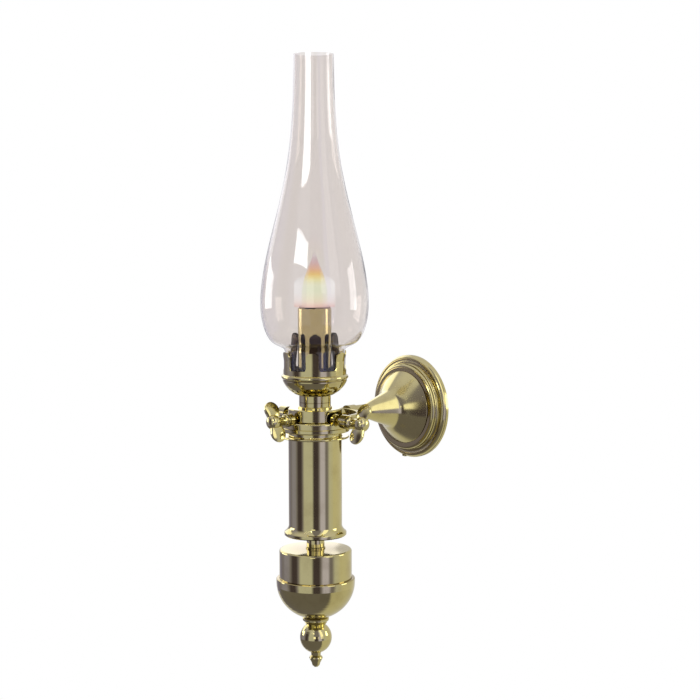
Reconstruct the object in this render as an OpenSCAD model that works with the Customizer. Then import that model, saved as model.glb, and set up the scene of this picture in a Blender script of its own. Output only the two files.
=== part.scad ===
// Gimballed brass wall lamp with a round-wick oil burner and a clear glass chimney.
// The origin is the centre of the mounting disc's back face. +Z is up and the room lies towards -Y.
// Heights named _z are measured from the two pivot axes, which meet on the lamp's own axis.

/* [Wall rose] */
// Distance from the wall to the lamp's axis
lamp_depth = 90; // [88:1:105]
// Radius of the rim that meets the wall
rose_r = 36; // [34:0.5:42]
// Width of the upright edge of the rim
rim_edge = 2; // [1:0.5:3]
// How far the rim's sloping face runs in towards the cove
rim_face_w = 3; // [2:0.1:3.4]
// Depth at which the rim's sloping face ends
rim_face_d = 4.8; // [4.5:0.1:5.2]
// Width of the cove inside the rim
cove_w = 3.4; // [2.6:0.1:3.6]
// Depth of the cove's inner edge, where the raised step begins
step_d = 7.2; // [6.8:0.1:7.6]
// Width of the raised step between the cove and the trumpet's foot
step_w = 4.1; // [3:0.1:5]
// Depth of the rose's front face
rose_depth = 9.6; // [9.2:0.1:11]
// Thickness of the rose's front
rose_wall = 1.4; // [1:0.1:1.6]
// Clearance between the mounting disc and the rose's inside
disc_gap = 0.2; // [0.1:0.1:1]
// Thickness of the mounting disc
disc_t = 3.5; // [3:0.1:3.8]
// Distance between the two wall screw holes
hole_spacing = 36; // [30:1:40]
// Radius of each wall screw hole
hole_r = 2.25; // [1.5:0.05:3]
// Radius of the screw that holds the rose on the disc
rose_screw_r = 1.2; // [1:0.1:1.6]
// Turn of that screw away from straight down, towards the room's right
rose_screw_turn = -9; // [-40:1:40]

/* [Arm and yoke] */
// Radius of the arm's rod
rod_r = 5; // [4:0.1:5.4]
// Depth at which the trumpet has become the rod
trumpet_d = 47; // [44:1:50]
// Radius of the stud behind the trumpet
stud_r = 4; // [3:0.1:4.5]
// Height of the nut on the stud
arm_nut_h = 3; // [2.5:0.1:4]
// Thickness of the washer under the nut
arm_washer_t = 1.2; // [1:0.1:1.5]
// Clearance between the gimbal ring's lugs and the yoke
yoke_gap = 3.6; // [3.4:0.1:4]
// Thickness of the yoke's band
yoke_t = 3; // [2.5:0.1:4]
// Height of the yoke's band
yoke_h = 7.4; // [6:0.2:8]
// How far the bosses stand out of the yoke's band
yoke_boss_h = 4.4; // [3:0.1:6]
// Radius of the bosses at the yoke's ends
yoke_boss_r = 4.6; // [4:0.1:5.4]
// Radius of the spigot that joins the rod to the yoke
spigot_r = 3; // [2.5:0.1:3.5]

/* [Gimbal] */
// Clearance between the body and the gimbal ring
ring_gap = 2.6; // [2.4:0.1:3.2]
// Thickness of the gimbal ring
ring_t = 2.6; // [2:0.1:2.8]
// Height of the gimbal ring's band
ring_h = 7.2; // [6.8:0.1:7.6]
// Height of the band's top edge
ring_top_z = -1.9; // [-2.5:0.1:-1.6]
// How far the lugs stand out of the ring's band
lug_h = 0.9; // [0.6:0.1:1.4]
// Radius of the lugs
lug_r = 4.2; // [3.8:0.1:4.6]
// Radius of the threaded shanks of the pivot screws
shank_r = 2; // [1.8:0.05:2.4]
// Radius of the pivot tips
tip_r = 1.42; // [1.2:0.02:1.6]
// Radial clearance of a pin that turns in its hole
running_gap = 0.05; // [0.02:0.01:0.1]
// Clearance between a screw's shoulder and the face it turns against
side_gap = 0.3; // [0.2:0.05:0.5]
// Distance from a lug's face to the middle of the wings
wing_out = 10.4; // [9:0.2:12]
// Radius of each wing's round end
wing_r = 5.4; // [4.5:0.1:6]
// Distance of the round end's middle from the screw's axis
wing_offset = 8.4; // [7.5:0.1:9]
// Thickness of a wing in the middle
wing_t = 4.4; // [3.5:0.1:5]
// Radius of the domed faces of a wing
wing_dome_r = 16; // [12:1:24]
// Turn of the wings away from upright
wing_turn = 24; // [0:1:45]
// Radius of the rounded boss that the wings grow from
wing_boss_r = 4.9; // [4:0.1:6]

/* [Lamp body] */
// Outer radius of the body tube and of the collar above it
body_r = 17.9; // [17.5:0.1:18.4]
// Wall of the body tube
body_wall = 0.9; // [0.7:0.1:1.2]
// Height of the collar's top edge
collar_top_z = 6.5; // [5.5:0.1:8]
// Wall of the collar
collar_wall = 2.4; // [2.2:0.1:2.8]
// Thickness of the collar's flange
flange_t = 1.3; // [1:0.1:2]
// How far the flange stands out from the body
flange_w = 4.9; // [4:0.1:5.2]
// Angle that the lamp swings to each side in the ring
lamp_swing = 7; // [5:1:9]
// Clearance between the flange and the ring at that angle
flange_gap = 0.3; // [0.2:0.05:0.8]
// Height where the body tube starts to flare
flare_top_z = -72.5; // [-74:0.5:-70]
// How far the foot flares out from the body
foot_flare = 3; // [1.5:0.1:4]
// Height of the foot's bottom edge
foot_z = -79.5; // [-81:0.5:-78]
// Clearance between the oil font and the collar round it
font_gap = 0.5; // [0.3:0.1:2]
// Height of the oil font's bottom
font_bottom_z = -68; // [-69:0.5:-60]

/* [Burner] */
// Outer radius of the burner's neck
neck_r = 10.6; // [10.4:0.1:11.2]
// Height where the neck meets the perforated bowl
neck_top_z = 15; // [14:0.5:16]
// Outer radius of the perforated bowl at its top
bowl_r = 21.4; // [21:0.1:22]
// Height of the bowl's top edge
bowl_top_z = 25.6; // [25:0.2:26]
// Radius of the bead round the gallery
gallery_bead_r = 22.4; // [22:0.1:23]
// Radius of the air holes in the bowl
air_hole_r = 1.05; // [0.7:0.05:1.2]
// Number of air holes in each row
air_holes = 20; // [12:1:24]
// Number of fingers on the gallery
fingers = 6; // [5:1:7]
// Width of the gallery's outer fingers
finger_w = 8.4; // [7:0.2:9]
// Height of the outer fingers' tips
finger_top_z = 44.5; // [42:0.5:46]
// Height of the slots' bottoms between the outer fingers
finger_root_z = 32.6; // [32:0.2:34]
// Height of the spring fingers' tips
spring_top_z = 56; // [54:0.5:60]
// Width of the spring fingers
spring_w = 7.8; // [6:0.2:8.4]
// How far the spring fingers lean in at their tips
spring_lean = 2.4; // [1:0.1:3]
// Outer radius of the wick tube
wick_tube_r = 11.2; // [10.8:0.1:11.5]
// Height of the wick tube's mouth
wick_tube_z = 73; // [70:0.5:76]
// Thickness of the thin sheet that the burner's tubes are made of
sheet_t = 0.5; // [0.4:0.05:0.6]
// Thickness of the wick
wick_t = 1.2; // [1:0.1:1.3]
// Height of the wick above its tube
wick_show = 1.5; // [1:0.1:3]
// Direction of the winder's shaft, seen from above, counted from +X
winder_angle = 139; // [120:1:160]
// Height of the winder's shaft
winder_z = 22.2; // [22:0.1:22.6]
// Radius of the winder's shaft
winder_r = 1.2; // [1:0.05:1.3]
// Radius of the winder's knob
winder_knob_r = 4.6; // [4:0.1:5]

/* [Chimney] */
// Outer radius of the chimney's foot
fitter_r = 20; // [19.8:0.1:20]
// Thickness of the glass
glass_t = 1.5; // [1.2:0.1:1.5]
// Greatest radius of the bulb
bulb_r = 36; // [33:0.5:38]
// Height of the widest part of the bulb
bulb_z = 78; // [74:1:82]
// Radius of the chimney's mouth
mouth_r = 13.2; // [12:0.1:14]
// Height of the chimney's mouth
chimney_top_z = 240; // [235:1:244]

/* [Counterweight] */
// Radius of the stem between the body and the weight
stem_r = 6; // [5:0.1:7]
// Height of the weight's top
weight_top_z = -88.5; // [-90:0.5:-87]
// Radius of the weight's upper drum
drum_r = 24.4; // [23.5:0.1:24.8]
// Height of the lip where the lower bowl begins
lip_top_z = -108.5; // [-111:0.5:-105]
// Height of the bowl's upright lip
lip_h = 2.8; // [2:0.2:4.4]
// Outer radius of the lip
lip_r = 26.5; // [26.1:0.1:27]
// Depth of the rounded bowl below its lip
weight_bowl_h = 25.2; // [22:0.2:26]
// Wall of the weight's shells
weight_wall = 1.2; // [1:0.1:1.5]
// Radius of the ball on the finial
ball_r = 10.8; // [9:0.1:12]
// Radius of the collar above the ball
finial_collar_r = 8.9; // [8:0.1:9.5]
// Height of the collar above the ball
finial_collar_h = 4.3; // [3.5:0.1:6]

/* [Hidden] */

$fn = 72;
eps = 0.01;
// Clearance between pieces that slip together and stay together
slip = 0.05;
// Room between loose pieces that must not touch
room = 0.3;

brass = "#b5a862";
polished = "#cdbb78";
steel = "#9a9a94";
cotton = "#e9e2cf";
glass = [0.86, 0.90, 0.90, 0.35];
iron = "#4a4a48";

// Points on an arc about c from angle a0 to a1
function arc(c, r, a0, a1, n) =
    [for (i = [0 : n]) let (a = a0 + (a1 - a0) * i / n) c + r * [cos(a), sin(a)]];

// Points on a cubic curve through four control points
function curve(p, n) =
    [for (i = [0 : n]) let (t = i / n, s = 1 - t)
        s * s * s * p[0] + 3 * s * s * t * p[1] + 3 * s * t * t * p[2] + t * t * t * p[3]];

// A path's unit normal at one point, to the left of its direction
function left_of(p, i) =
    let (d = p[min(i + 1, len(p) - 1)] - p[max(i - 1, 0)]) [-d[1], d[0]] / norm(d);

// A path moved sideways to its left
function inset(p, t) = [for (i = [0 : len(p) - 1]) p[i] + t * left_of(p, i)];

function reversed(p) = [for (i = [len(p) - 1 : -1 : 0]) p[i]];

// The profile of a wall of thickness t along a path
function wall(p, t) = concat(p, reversed(inset(p, t)));

// Places its children on the lamp's axis, with heights from the pivots
module on_lamp() {
    translate([0, -lamp_depth, 0]) children();
}

// Turns a profile about the wall rose's axis, with distance from the wall as height
module turned_from_wall() {
    rotate([90, 0, 0]) rotate_extrude() children();
}

module tube(r, t, z0, z1) {
    translate([0, 0, z0]) difference() {
        cylinder(r = r, h = z1 - z0);
        translate([0, 0, -eps]) cylinder(r = r - t, h = z1 - z0 + 2 * eps);
    }
}

// A rod along +X from x0 to x1
module rod_x(r, x0, x1) {
    translate([x0, 0, 0]) rotate([0, 90, 0]) cylinder(r = r, h = x1 - x0);
}

// Copies of its children at every angle in the list
module around(angles) {
    for (a = angles) rotate([0, 0, a]) children();
}

// Radii that follow from the body outwards

collar_in_r = body_r - collar_wall;
tube_in_r = body_r - body_wall;
flange_r = body_r + flange_w;
foot_r = body_r + foot_flare;
ring_in_r = body_r + ring_gap;
ring_out_r = ring_in_r + ring_t;
lug_face_r = ring_out_r + lug_h;
yoke_r = lug_face_r + yoke_gap;
yoke_out_r = yoke_r + yoke_t;
yoke_face_r = yoke_out_r + yoke_boss_h;

// Wall rose and mounting disc

rim_face_r = rose_r - rim_face_w;
cove_r = rim_face_r - cove_w;
trumpet_base_r = cove_r - step_w;
// The hollow behind the step, where the mounting disc and the arm's nut lie
rose_inside_r = cove_r - rose_wall;
rose_hollow_d = rose_depth - rose_wall;
disc_r = cove_r - disc_gap;

// The rim's face bulges a little between its upright edge and the cove
rim_face_h = rim_face_d - rim_edge;
rim_break = 0.1 * rim_face_w;
cove_h = step_d - rim_face_d;
// The step is a half-round moulding that runs out flat under the trumpet's foot
step_h = rose_depth - step_d;
step_round = 0.5 * step_w;

rose_outline = concat(
    [[rose_r, 0], [rose_r, rim_edge]],
    curve([[rose_r - rim_break, rim_edge + rim_break],
           [rose_r - 0.3 * rim_face_w, rim_edge + 0.75 * rim_face_h],
           [rim_face_r + 0.4 * rim_face_w, rim_face_d],
           [rim_face_r + rim_break, rim_face_d]], 6),
    curve([[rim_face_r, rim_face_d - rim_break],
           [cove_r + 0.45 * cove_w, rim_face_d - 2 * rim_break],
           [cove_r + 0.02 * cove_w, rim_face_d + 0.1 * cove_h],
           [cove_r, step_d - rim_break]], 8),
    curve([[cove_r + rim_break, step_d],
           [cove_r + 0.9 * rim_break, step_d + 0.65 * step_h],
           [cove_r - 0.35 * step_round, rose_depth],
           [cove_r - step_round, rose_depth]], 6)
);
rose_seat_d = disc_t + disc_gap;
rose_screw_d = disc_t / 2;
rose_screw_head_r = 1.6 * rose_screw_r;
rose_screw_head_h = 0.8 * rose_screw_r;
// The head lies in a seat and stands a little proud of the rim
rose_screw_seat_r = rose_r - 0.6 * rose_screw_head_h;
// How far the screw reaches into the disc
rose_screw_bite = 5;
// The disc is open in the middle, so that the arm's nut can be reached
disc_bore_r = 2.4 * stud_r;

module wall_disc() {
    color(steel) difference() {
        rotate([90, 0, 0]) cylinder(r = disc_r, h = disc_t);
        for (s = [-1, 1]) translate([0, eps, s * hole_spacing / 2])
            rotate([90, 0, 0]) cylinder(r = hole_r, h = disc_t + 2 * eps);
        translate([0, eps, 0]) rotate([90, 0, 0]) cylinder(r = disc_bore_r, h = disc_t + 2 * eps);
        rose_screw_axis() rod_x(rose_screw_r + slip, disc_r - rose_screw_bite, disc_r + 1);
    }
}

// Puts +X along the rose screw's axis, which points down from the rose's centre
module rose_screw_axis() {
    translate([0, -rose_screw_d, 0]) rotate([0, 90 - rose_screw_turn, 0]) children();
}

module wall_rose() {
    color(brass) difference() {
        turned_from_wall() polygon(concat([[0, 0]], rose_outline, [[0, rose_depth]]));
        turned_from_wall() polygon([
            [0, -eps], [disc_r + slip, -eps], [disc_r + slip, rose_seat_d],
            [rose_inside_r, rose_seat_d + rose_wall], [rose_inside_r, rose_hollow_d - rose_wall],
            [rose_inside_r - rose_wall, rose_hollow_d], [0, rose_hollow_d]]);
        turned_from_wall() translate([0, rose_hollow_d - eps]) square([stud_r + slip, 2 * rose_wall]);
        rose_screw_axis() {
            rod_x(rose_screw_r + slip, disc_r - 1, rose_r + 1);
            rod_x(rose_screw_head_r + slip, rose_screw_seat_r, rose_r + 1);
        }
    }
}

module rose_screw() {
    color(polished) rose_screw_axis() difference() {
        union() {
            rod_x(rose_screw_r, disc_r - rose_screw_bite + room, rose_screw_seat_r);
            rod_x(rose_screw_head_r, rose_screw_seat_r - eps, rose_screw_seat_r + rose_screw_head_h);
        }
        screw_slot(rose_screw_seat_r + rose_screw_head_h, rose_screw_head_r);
    }
}

// Arm and yoke

trumpet_h = trumpet_d - rose_depth;
trumpet_w = trumpet_base_r - rod_r;
// The trumpet's foot ends in a short upright edge
foot_edge = 0.02 * trumpet_h;
arm_outline = concat(
    [[0, rose_depth], [trumpet_base_r, rose_depth], [trumpet_base_r, rose_depth + foot_edge]],
    curve([[trumpet_base_r - foot_edge / 2, rose_depth + 1.5 * foot_edge],
           [rod_r + 0.45 * trumpet_w, rose_depth + 0.12 * trumpet_h],
           [rod_r + 0.15 * trumpet_w, trumpet_d - 0.56 * trumpet_h],
           [rod_r, trumpet_d]], 16),
    [[rod_r, lamp_depth - yoke_face_r], [0, lamp_depth - yoke_face_r]]
);
arm_washer_r = 2.4 * stud_r;
nut_front_d = rose_hollow_d - arm_washer_t;
// How far the stud stands out behind its nut
stud_end = 0.5;
// How far the spigot's end lies behind the yoke's inner face
spigot_back = 0.2;

module arm() {
    color(brass) union() {
        turned_from_wall() polygon(arm_outline);
        turned_from_wall() translate([0, nut_front_d - arm_nut_h - stud_end])
            square([stud_r, rose_depth - nut_front_d + arm_nut_h + stud_end + eps]);
        turned_from_wall() translate([0, lamp_depth - yoke_face_r - eps])
            square([spigot_r, yoke_face_r - yoke_r - spigot_back]);
    }
}

module arm_washer() {
    color(steel) turned_from_wall() translate([stud_r + slip, nut_front_d])
        square([arm_washer_r - stud_r, arm_washer_t]);
}

module arm_nut() {
    color(steel) rotate([90, 0, 0]) translate([0, 0, nut_front_d - arm_nut_h]) difference() {
        cylinder(r = 2 * stud_r, h = arm_nut_h, $fn = 6);
        translate([0, 0, -eps]) cylinder(r = stud_r + slip, h = arm_nut_h + 2 * eps);
    }
}

yoke_corner = yoke_t / 3;
// The edge of a flat face is broken by this much
edge_break = 0.4;
// The boss round the rod's spigot is a little wider than the rod
yoke_root_r = 1.12 * rod_r;

module yoke_section() {
    r0 = yoke_r;
    r1 = yoke_out_r;
    h = yoke_h / 2;
    c = yoke_corner;
    polygon(concat(
        [[r0, -h + edge_break], [r0 + edge_break, -h]],
        arc([r1 - c, -h + c], c, -90, 0, 3),
        arc([r1 - c, h - c], c, 0, 90, 3),
        [[r0 + edge_break, h], [r0, h - edge_break]]));
}

module yoke() {
    color(brass) on_lamp() difference() {
        union() {
            difference() {
                rotate_extrude() yoke_section();
                translate([-2 * yoke_out_r, -4 * yoke_out_r, -yoke_h])
                    cube([4 * yoke_out_r, 4 * yoke_out_r, 2 * yoke_h]);
            }
            around([0, 180]) {
                rod_x(yoke_boss_r, yoke_r + yoke_t / 6, yoke_face_r - edge_break);
                rod_x(yoke_boss_r - edge_break, yoke_r + yoke_t / 4, yoke_face_r);
            }
            around([90]) rod_x(yoke_root_r, yoke_r + yoke_t / 5, yoke_face_r);
        }
        translate([0, 0, -yoke_h]) cylinder(r = yoke_r, h = 2 * yoke_h);
        around([0, 180]) rod_x(shank_r + running_gap, yoke_r - 2, yoke_face_r + 1);
        around([90]) rod_x(spigot_r, yoke_r - 2, yoke_face_r + 1);
    }
}

// Pivot screws

// The depth of the pivot tips in the ring and in the collar
ring_tip_end = ring_in_r + 0.2 * ring_t;
collar_tip_end = collar_in_r + collar_wall / 4;
// Where each threaded shank ends and its pivot tip begins
ring_shank_end = yoke_r - 0.4 * yoke_gap;
collar_shank_end = ring_in_r - 0.23 * ring_gap;
pivot_head_t = 0.75 * shank_r;
pivot_head_r = 1.7 * shank_r;
// The rear pivot is a grub screw whose end stands just below the lug's face
grub_seat = lug_face_r - 0.6;
grub_end = 0.5;
slot_w = 0.8;

// A screwdriver slot across the face of a screw head along +X that ends at x
module screw_slot(x, head_r) {
    w = head_r < 3 ? 0.75 * slot_w : slot_w;
    translate([x - w, -w / 2, -head_r - 1]) cube([2 * w, w, 2 * head_r + 2]);
}

// A plain screw along +X whose head, where it has one, sits on the face at seat
module pivot_screw(seat, shank_end, tip_end, head_r, head_t) {
    difference() {
        union() {
            rod_x(tip_r, tip_end, shank_end + eps);
            rod_x(shank_r, shank_end, seat + eps);
            rod_x(head_r, seat, seat + head_t);
        }
        screw_slot(seat + head_t, head_r);
    }
}

// One wing: a round-ended leaf between two domed faces, which grows out of the hub
module wing(out) {
    dome_z = 0.78 * wing_offset;
    translate([out, 0, 0]) intersection() {
        union() {
            translate([0, 0, wing_offset]) sphere(wing_r);
            cylinder(r1 = 0.68 * wing_r, r2 = 0.95 * wing_r, h = 0.86 * wing_offset);
        }
        translate([0, wing_dome_r - wing_t / 2, dome_z]) sphere(wing_dome_r);
        translate([0, wing_t / 2 - wing_dome_r, dome_z]) sphere(wing_dome_r);
    }
}

wing_hub_r = 1.45 * shank_r;
wing_collar_r = 2.15 * shank_r;

// A winged thumb screw along +X that turns against the face at seat
module wing_screw(seat, shank_end, tip_end) {
    out = seat + wing_out;
    start = seat + side_gap;
    waist_start = start + 1.4 * shank_r;
    rod_x(tip_r, tip_end, shank_end + eps);
    rod_x(shank_r, shank_end, start + eps);
    rotate([0, 90, 0]) rotate_extrude() polygon(concat(
        [[0, start], [wing_collar_r - edge_break, start], [wing_collar_r, start + edge_break],
         [wing_collar_r, waist_start - 1.3 * edge_break - shank_r / 2],
         [wing_collar_r - edge_break, waist_start - shank_r / 2],
         [wing_hub_r + edge_break / 2, waist_start - 0.3 * shank_r]],
        curve([[wing_hub_r, waist_start], [wing_hub_r, waist_start + shank_r],
               [0.7 * wing_boss_r, out - 0.6 * wing_boss_r], [wing_boss_r, out]], 6),
        curve([[wing_boss_r, out + 0.3 * wing_boss_r], [wing_boss_r, out + 0.85 * wing_boss_r],
               [0.7 * wing_boss_r, out + 1.1 * wing_boss_r], [0, out + 1.15 * wing_boss_r]], 8)));
    for (s = [0, 180]) rotate([s, 0, 0]) wing(out);
}

module left_pivot_screw() {
    color(polished) on_lamp() rotate([0, 0, 180])
        pivot_screw(yoke_face_r, ring_shank_end, ring_tip_end, pivot_head_r, pivot_head_t);
}

module right_wing_screw() {
    color(polished) on_lamp() rotate([-wing_turn, 0, 0])
        wing_screw(yoke_face_r, ring_shank_end, ring_tip_end);
}

module rear_pivot_screw() {
    color(polished) on_lamp() rotate([0, 0, 90])
        pivot_screw(grub_seat, collar_shank_end, collar_tip_end, shank_r, grub_end);
}

module front_wing_screw() {
    color(polished) on_lamp() rotate([0, 0, -90]) rotate([wing_turn, 0, 0])
        wing_screw(lug_face_r, collar_shank_end, collar_tip_end);
}

// Gimbal ring

ring_low_z = ring_top_z - ring_h;
// The line between the ring's two mouldings
ring_line_z = ring_top_z - 0.56 * ring_h;
ring_low_round = 0.12 * ring_h;
ring_top_round = 0.15 * ring_h;

module gimbal_ring() {
    color(brass) on_lamp() difference() {
        union() {
            rotate_extrude() polygon(concat(
                [[ring_in_r, ring_low_z + edge_break], [ring_in_r + edge_break, ring_low_z]],
                arc([ring_out_r - ring_low_round, ring_low_z + ring_low_round],
                    ring_low_round, -90, 0, 3),
                [[ring_out_r, ring_line_z - edge_break],
                 [ring_out_r - 0.24 * ring_t, ring_line_z]],
                arc([ring_out_r - 0.08 * ring_t - ring_top_round, ring_top_z - ring_top_round],
                    ring_top_round, 0, 90, 3),
                [[ring_in_r + edge_break, ring_top_z], [ring_in_r, ring_top_z - edge_break]]));
            around([0 : 90 : 270]) {
                rod_x(lug_r, ring_in_r, lug_face_r - edge_break);
                rod_x(lug_r - edge_break, ring_in_r, lug_face_r);
            }
        }
        translate([0, 0, ring_low_z - lug_r]) cylinder(r = ring_in_r, h = ring_h + 3 * lug_r);
        around([0, 180]) rod_x(tip_r + running_gap, ring_in_r - 2, lug_face_r + 1);
        around([90, 270]) rod_x(shank_r + running_gap, ring_in_r - 2, lug_face_r + 1);
    }
}

// Lamp body

flange_top_z = ring_low_z - flange_r * tan(lamp_swing) - flange_gap;
flange_low_z = flange_top_z - flange_t;
// How far the collar reaches down inside the tube
collar_spigot_z = flange_low_z - body_r / 3;
// The collar's top is rebated for the font's plate
font_seat_r = collar_in_r + 0.42 * collar_wall;
font_plate_t = collar_wall / 2;
font_neck_r = 0.85 * neck_r;
font_r = collar_in_r - font_gap;
// Height of the font's neck, which the burner screws into
font_neck_h = 4;
// The collar's corners are rounded off by this much
collar_round = collar_wall / 4;

module pivot_collar() {
    edge = flange_t / 2;
    color(brass) on_lamp() difference() {
        rotate_extrude() polygon(concat(
            [[collar_in_r, collar_spigot_z], [tube_in_r - slip, collar_spigot_z],
             [tube_in_r - slip, flange_low_z]],
            arc([flange_r - edge, flange_top_z - edge], edge, -90, 90, 6),
            [[body_r + collar_round, flange_top_z], [body_r, flange_top_z + collar_round],
             [body_r, collar_top_z - collar_round], [body_r - collar_round, collar_top_z],
             [font_seat_r, collar_top_z], [font_seat_r, collar_top_z - font_plate_t],
             [collar_in_r, collar_top_z - font_plate_t]]));
        around([90, 270]) rod_x(tip_r + running_gap, collar_in_r - 1, body_r + 1);
    }
}

// The foot ends in a short upright band that holds the foot plate
flare_h = flare_top_z - foot_z;
foot_band_h = 0.32 * flare_h;
foot_round = 0.7 * body_wall;
foot_path = concat(
    [[foot_r - foot_round, foot_z], [foot_r, foot_z + foot_round],
     [foot_r, foot_z + foot_band_h]],
    curve([[foot_r - 0.07 * foot_flare, foot_z + foot_band_h + 0.05 * flare_h],
           [body_r + 0.4 * foot_flare, foot_z + 0.53 * flare_h],
           [body_r, flare_top_z - 0.2 * flare_h], [body_r, flare_top_z]], 8));

module lamp_tube() {
    color(brass) on_lamp() rotate_extrude() polygon(wall(
        concat(foot_path, [[body_r, flange_low_z - body_wall], [body_r, flange_low_z]]),
        body_wall));
}

foot_plate_z = foot_z + 0.36 * foot_band_h;
foot_plate_t = foot_band_h / 2;
foot_plate_r = foot_r - body_wall - slip;
// The plate's boss takes the spigot at the stem's top
foot_boss_r = 1.33 * stem_r;
foot_boss_h = 0.83 * stem_r;
stem_spigot_r = 0.67 * stem_r;
stem_top_z = foot_plate_z + foot_boss_h + 0.15 * stem_r;

module tube_foot() {
    color(steel) on_lamp() difference() {
        union() {
            translate([0, 0, foot_plate_z]) cylinder(r = foot_plate_r, h = foot_plate_t);
            translate([0, 0, foot_plate_z]) cylinder(r = foot_boss_r, h = foot_boss_h);
        }
        translate([0, 0, foot_plate_z - 1])
            cylinder(r = stem_spigot_r + slip, h = foot_boss_h + 2);
    }
}

module oil_font() {
    t = sheet_t;
    c = 2 * sheet_t;
    plate_z = collar_top_z - font_plate_t;
    neck_low_z = plate_z - font_neck_h;
    color(brass) on_lamp() rotate_extrude() polygon([
        [0, font_bottom_z], [font_r - c, font_bottom_z], [font_r, font_bottom_z + c],
        [font_r, plate_z], [font_seat_r - slip, plate_z], [font_seat_r - slip, collar_top_z],
        [font_neck_r, collar_top_z], [font_neck_r, neck_low_z],
        [font_neck_r + c, neck_low_z], [font_neck_r + c, plate_z - t],
        [font_r - t, plate_z - t], [font_r - t, font_bottom_z + c + t],
        [font_r - c - t, font_bottom_z + t], [0, font_bottom_z + t]]);
}

// Burner

neck_wall = 1;
neck_in_r = neck_r - neck_wall;
neck_spigot_r = font_neck_r - slip;
neck_spigot_z = collar_top_z - font_plate_t - font_neck_h - 0.8 * neck_wall;
// A thin ring at the neck's foot rests on the font's plate
neck_ring_r = neck_r + 0.9 * neck_wall;
neck_ring_h = 0.8 * neck_wall;

module burner_neck() {
    color(brass) on_lamp() rotate_extrude() polygon([
        [neck_spigot_r - neck_wall, neck_spigot_z], [neck_spigot_r, neck_spigot_z],
        [neck_spigot_r, collar_top_z], [neck_ring_r, collar_top_z],
        [neck_ring_r, collar_top_z + neck_ring_h], [neck_r, collar_top_z + 1.5 * neck_ring_h],
        [neck_r, neck_top_z], [neck_in_r, neck_top_z], [neck_in_r, collar_top_z + 2 * neck_ring_h],
        [neck_spigot_r - neck_wall, collar_top_z + neck_ring_h]]);
}

// The bowl's outside, from the neck up to its rim
bowl_path = concat(
    [[neck_in_r, neck_top_z], [neck_r + 0.5, neck_top_z]],
    curve([[neck_r + 1.2, neck_top_z + 0.3], [neck_r + 5, neck_top_z + 1.8],
           [bowl_r - 1.4, bowl_top_z - 5], [bowl_r, bowl_top_z - 0.8]], 9),
    [[bowl_r, bowl_top_z]]);
bowl_t = 0.8;
winder_bush_r = winder_r + 1;
winder_offset = wick_tube_r + 2.9;
winder_out = 24.6;

// Puts +X along the winder's shaft
module on_winder() {
    on_lamp() rotate([0, 0, winder_angle]) translate([0, winder_offset, winder_z]) children();
}

module burner_bowl() {
    half = 180 / air_holes;
    color(brass) difference() {
        on_lamp() rotate_extrude() polygon(wall(bowl_path, bowl_t));
        on_lamp() for (i = [0 : air_holes - 1]) {
            rotate([0, 0, 2 * half * i]) translate([neck_r + 3.1, 0, neck_top_z + 1.6])
                rotate([0, 150, 0]) translate([0, 0, -4]) cylinder(r = air_hole_r, h = 8);
            rotate([0, 0, 2 * half * i + half]) translate([neck_r + 6.4, 0, neck_top_z + 3.9])
                rotate([0, 138, 0]) translate([0, 0, -4]) cylinder(r = air_hole_r, h = 8);
        }
        on_winder() rod_x(winder_bush_r, 5, 22);
    }
}

gallery_wall = 0.8;
gallery_in_r = fitter_r + 0.25;
gallery_out_r = gallery_in_r + gallery_wall;
gallery_floor_z = 30.2;
gallery_low_z = bowl_top_z;
finger_angles = [for (i = [0 : fingers - 1]) winder_angle - 4 + 360 * i / fingers];
spring_angles = [for (a = finger_angles) a + 6];

// An upright finger outline with a round top, w wide, from z0 to z1, swept out along +X
module finger_slab(w, z0, z1, r0, r1) {
    c = 0.36 * w;
    translate([r0, 0, 0]) rotate([90, 0, 90]) linear_extrude(r1 - r0) union() {
        translate([-w / 2, z0]) square([w, z1 - z0 - c]);
        translate([-w / 2 + c, z0]) square([w - 2 * c, z1 - z0]);
        for (s = [-1, 1]) translate([s * (w / 2 - c), z1 - c]) circle(r = c);
        translate([-w / 2 - 1.2, z0]) polygon([[0, 0], [w + 2.4, 0], [w + 1.2, 3.2], [1.2, 3.2]]);
    }
}

module gallery() {
    root = finger_root_z;
    flare = 0.9;
    color(brass) on_lamp() union() {
        rotate_extrude() polygon(concat(
            [[17, gallery_low_z], [bowl_r, gallery_low_z]],
            arc([gallery_bead_r - 1.4, gallery_low_z + 1.9], 1.4, -60, 70, 6),
            [[gallery_out_r, gallery_low_z + 3.6], [gallery_out_r, root], [gallery_in_r, root],
             [gallery_in_r, gallery_floor_z], [17, gallery_floor_z]]));
        for (a = finger_angles) intersection() {
            rotate_extrude() polygon([
                [gallery_in_r, root - eps], [gallery_out_r, root - eps],
                [gallery_out_r, finger_top_z - 6], [gallery_out_r + flare, finger_top_z],
                [gallery_in_r + flare, finger_top_z], [gallery_in_r, finger_top_z - 6]]);
            rotate([0, 0, a])
                finger_slab(finger_w, root - 1, finger_top_z, 15, gallery_out_r + 2);
        }
    }
}

spring_r = fitter_r - glass_t - 0.4;
spring_t = 0.6;
spring_seat_z = gallery_floor_z + 0.8;
plate_in_r = wick_tube_r + 0.3;

module spring_fingers() {
    root = spring_seat_z + 2;
    color(brass) on_lamp() union() {
        tube(spring_r, spring_t, gallery_floor_z, root);
        for (a = spring_angles) intersection() {
            rotate_extrude() polygon([
                [spring_r - spring_t, root - eps], [spring_r, root - eps],
                [spring_r - spring_lean, spring_top_z],
                [spring_r - spring_lean - spring_t, spring_top_z]]);
            rotate([0, 0, a]) finger_slab(spring_w, root - 1, spring_top_z, 10, spring_r + 2);
        }
    }
}

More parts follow.
